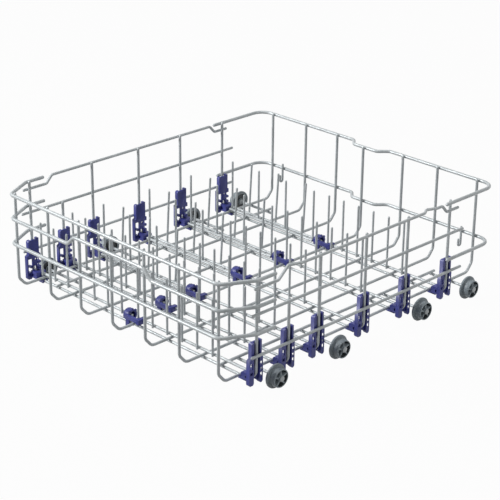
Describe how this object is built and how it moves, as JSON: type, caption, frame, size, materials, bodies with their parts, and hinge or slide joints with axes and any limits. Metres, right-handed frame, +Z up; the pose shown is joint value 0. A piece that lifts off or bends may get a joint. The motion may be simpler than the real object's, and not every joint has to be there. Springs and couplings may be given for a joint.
{
  "type": "dishwasher lower basket",
  "caption": "Open wire basket on grey wheels that rolls out of a dishwasher, with rows of folding tines held in blue clips and a raised grip wire in its front wall.",
  "frame": {"origin": "centre of the footprint, on the track that the wheels roll on", "axes": "+X to the right seen from the front, +Y from the front wall with the grip to the back wall, +Z up"},
  "size_m": [0.5222, 0.5586, 0.1731],
  "materials": {
    "coated_wire": "satin silver-grey coating on steel wire",
    "clip": "indigo moulded plastic",
    "wheel": "dark grey moulded plastic"
  },
  "bodies": {
    "basket": {"axle_rail_left": "coated_wire", "axle_rail_right": "coated_wire", "back_hooks": "coated_wire", "back_hoop_middle": "coated_wire", "back_hoop_top": "coated_wire", "centre_clips": "clip", "cross_wire_1": "coated_wire", "cross_wire_2": "coated_wire", "cross_wire_3": "coated_wire", "cross_wire_4": "coated_wire", "cross_wire_5": "coated_wire", "cross_wire_6": "coated_wire", "front_hoop_lower": "coated_wire", "front_hoop_middle": "coated_wire", "front_hoop_top": "coated_wire", "rib_1": "coated_wire", "rib_2": "coated_wire", "rib_3": "coated_wire", "rib_4": "coated_wire", "rib_5": "coated_wire", "rib_6": "coated_wire", "rib_7": "coated_wire", "side_clips_left": "clip", "side_clips_right": "clip", "side_lower_wire_left": "coated_wire", "side_lower_wire_right": "coated_wire", "side_middle_wire_left": "coated_wire", "side_middle_wire_right": "coated_wire", "side_rim_left": "coated_wire", "side_rim_right": "coated_wire", "stub_axles_left": "coated_wire", "stub_axles_right": "coated_wire"},
    "rack_1_left": {"tine_rack_1_left": "coated_wire"},
    "rack_1_right": {"tine_rack_1_right": "coated_wire"},
    "rack_2_left": {"tine_rack_2_left": "coated_wire"},
    "rack_2_right": {"tine_rack_2_right": "coated_wire"},
    "rack_3_left": {"tine_rack_3_left": "coated_wire"},
    "rack_3_right": {"tine_rack_3_right": "coated_wire"},
    "rack_4_left": {"tine_rack_4_left": "coated_wire"},
    "rack_4_right": {"tine_rack_4_right": "coated_wire"},
    "rack_5_left": {"tine_rack_5_left": "coated_wire"},
    "rack_5_right": {"tine_rack_5_right": "coated_wire"},
    "rack_6_left": {"tine_rack_6_left": "coated_wire"},
    "rack_6_right": {"tine_rack_6_right": "coated_wire"},
    "roller_left_1": {"wheel_left_1": "wheel"},
    "roller_left_2": {"wheel_left_2": "wheel"},
    "roller_left_3": {"wheel_left_3": "wheel"},
    "roller_left_4": {"wheel_left_4": "wheel"},
    "roller_right_1": {"wheel_right_1": "wheel"},
    "roller_right_2": {"wheel_right_2": "wheel"},
    "roller_right_3": {"wheel_right_3": "wheel"},
    "roller_right_4": {"wheel_right_4": "wheel"}
  },
  "joints": [
    {"name": "fold_1_left", "type": "hinge", "parent": "basket", "child": "rack_1_left", "pos_m": [0, -0.22214, 0.02713], "axis": [-1, 0, 0], "range_deg": [0, 38]},
    {"name": "fold_1_right", "type": "hinge", "parent": "basket", "child": "rack_1_right", "pos_m": [0, -0.22214, 0.02713], "axis": [-1, 0, 0], "range_deg": [0, 38]},
    {"name": "fold_2_left", "type": "hinge", "parent": "basket", "child": "rack_2_left", "pos_m": [0, -0.16072, 0.02713], "axis": [-1, 0, 0], "range_deg": [0, 38]},
    {"name": "fold_2_right", "type": "hinge", "parent": "basket", "child": "rack_2_right", "pos_m": [0, -0.16072, 0.02713], "axis": [-1, 0, 0], "range_deg": [0, 38]},
    {"name": "fold_3_left", "type": "hinge", "parent": "basket", "child": "rack_3_left", "pos_m": [0, -0.10094, 0.02713], "axis": [-1, 0, 0], "range_deg": [0, 75]},
    {"name": "fold_3_right", "type": "hinge", "parent": "basket", "child": "rack_3_right", "pos_m": [0, -0.10094, 0.02713], "axis": [-1, 0, 0], "range_deg": [0, 75]},
    {"name": "fold_4_left", "type": "hinge", "parent": "basket", "child": "rack_4_left", "pos_m": [0, -0.00582, 0.02713], "axis": [-1, 0, 0], "range_deg": [0, 75]},
    {"name": "fold_4_right", "type": "hinge", "parent": "basket", "child": "rack_4_right", "pos_m": [0, -0.00582, 0.02713], "axis": [-1, 0, 0], "range_deg": [0, 75]},
    {"name": "fold_5_left", "type": "hinge", "parent": "basket", "child": "rack_5_left", "pos_m": [0, 0.0844, 0.02713], "axis": [-1, 0, 0], "range_deg": [0, 75]},
    {"name": "fold_5_right", "type": "hinge", "parent": "basket", "child": "rack_5_right", "pos_m": [0, 0.0844, 0.02713], "axis": [-1, 0, 0], "range_deg": [0, 75]},
    {"name": "fold_6_left", "type": "hinge", "parent": "basket", "child": "rack_6_left", "pos_m": [0, 0.17951, 0.02713], "axis": [-1, 0, 0], "range_deg": [0, 75]},
    {"name": "fold_6_right", "type": "hinge", "parent": "basket", "child": "rack_6_right", "pos_m": [0, 0.17951, 0.02713], "axis": [-1, 0, 0], "range_deg": [0, 56]},
    {"name": "spin_left_1", "type": "hinge", "parent": "basket", "child": "roller_left_1", "pos_m": [-0.25215, -0.19403, 0.018], "axis": [1, 0, 0], "continuous": true},
    {"name": "spin_left_2", "type": "hinge", "parent": "basket", "child": "roller_left_2", "pos_m": [-0.25215, -0.06794, 0.018], "axis": [1, 0, 0], "continuous": true},
    {"name": "spin_left_3", "type": "hinge", "parent": "basket", "child": "roller_left_3", "pos_m": [-0.25215, 0.11196, 0.018], "axis": [1, 0, 0], "continuous": true},
    {"name": "spin_left_4", "type": "hinge", "parent": "basket", "child": "roller_left_4", "pos_m": [-0.25215, 0.22392, 0.018], "axis": [1, 0, 0], "continuous": true},
    {"name": "spin_right_1", "type": "hinge", "parent": "basket", "child": "roller_right_1", "pos_m": [0.25215, -0.19403, 0.018], "axis": [1, 0, 0], "continuous": true},
    {"name": "spin_right_2", "type": "hinge", "parent": "basket", "child": "roller_right_2", "pos_m": [0.25215, -0.06794, 0.018], "axis": [1, 0, 0], "continuous": true},
    {"name": "spin_right_3", "type": "hinge", "parent": "basket", "child": "roller_right_3", "pos_m": [0.25215, 0.11196, 0.018], "axis": [1, 0, 0], "continuous": true},
    {"name": "spin_right_4", "type": "hinge", "parent": "basket", "child": "roller_right_4", "pos_m": [0.25215, 0.22392, 0.018], "axis": [1, 0, 0], "continuous": true}
  ]
}
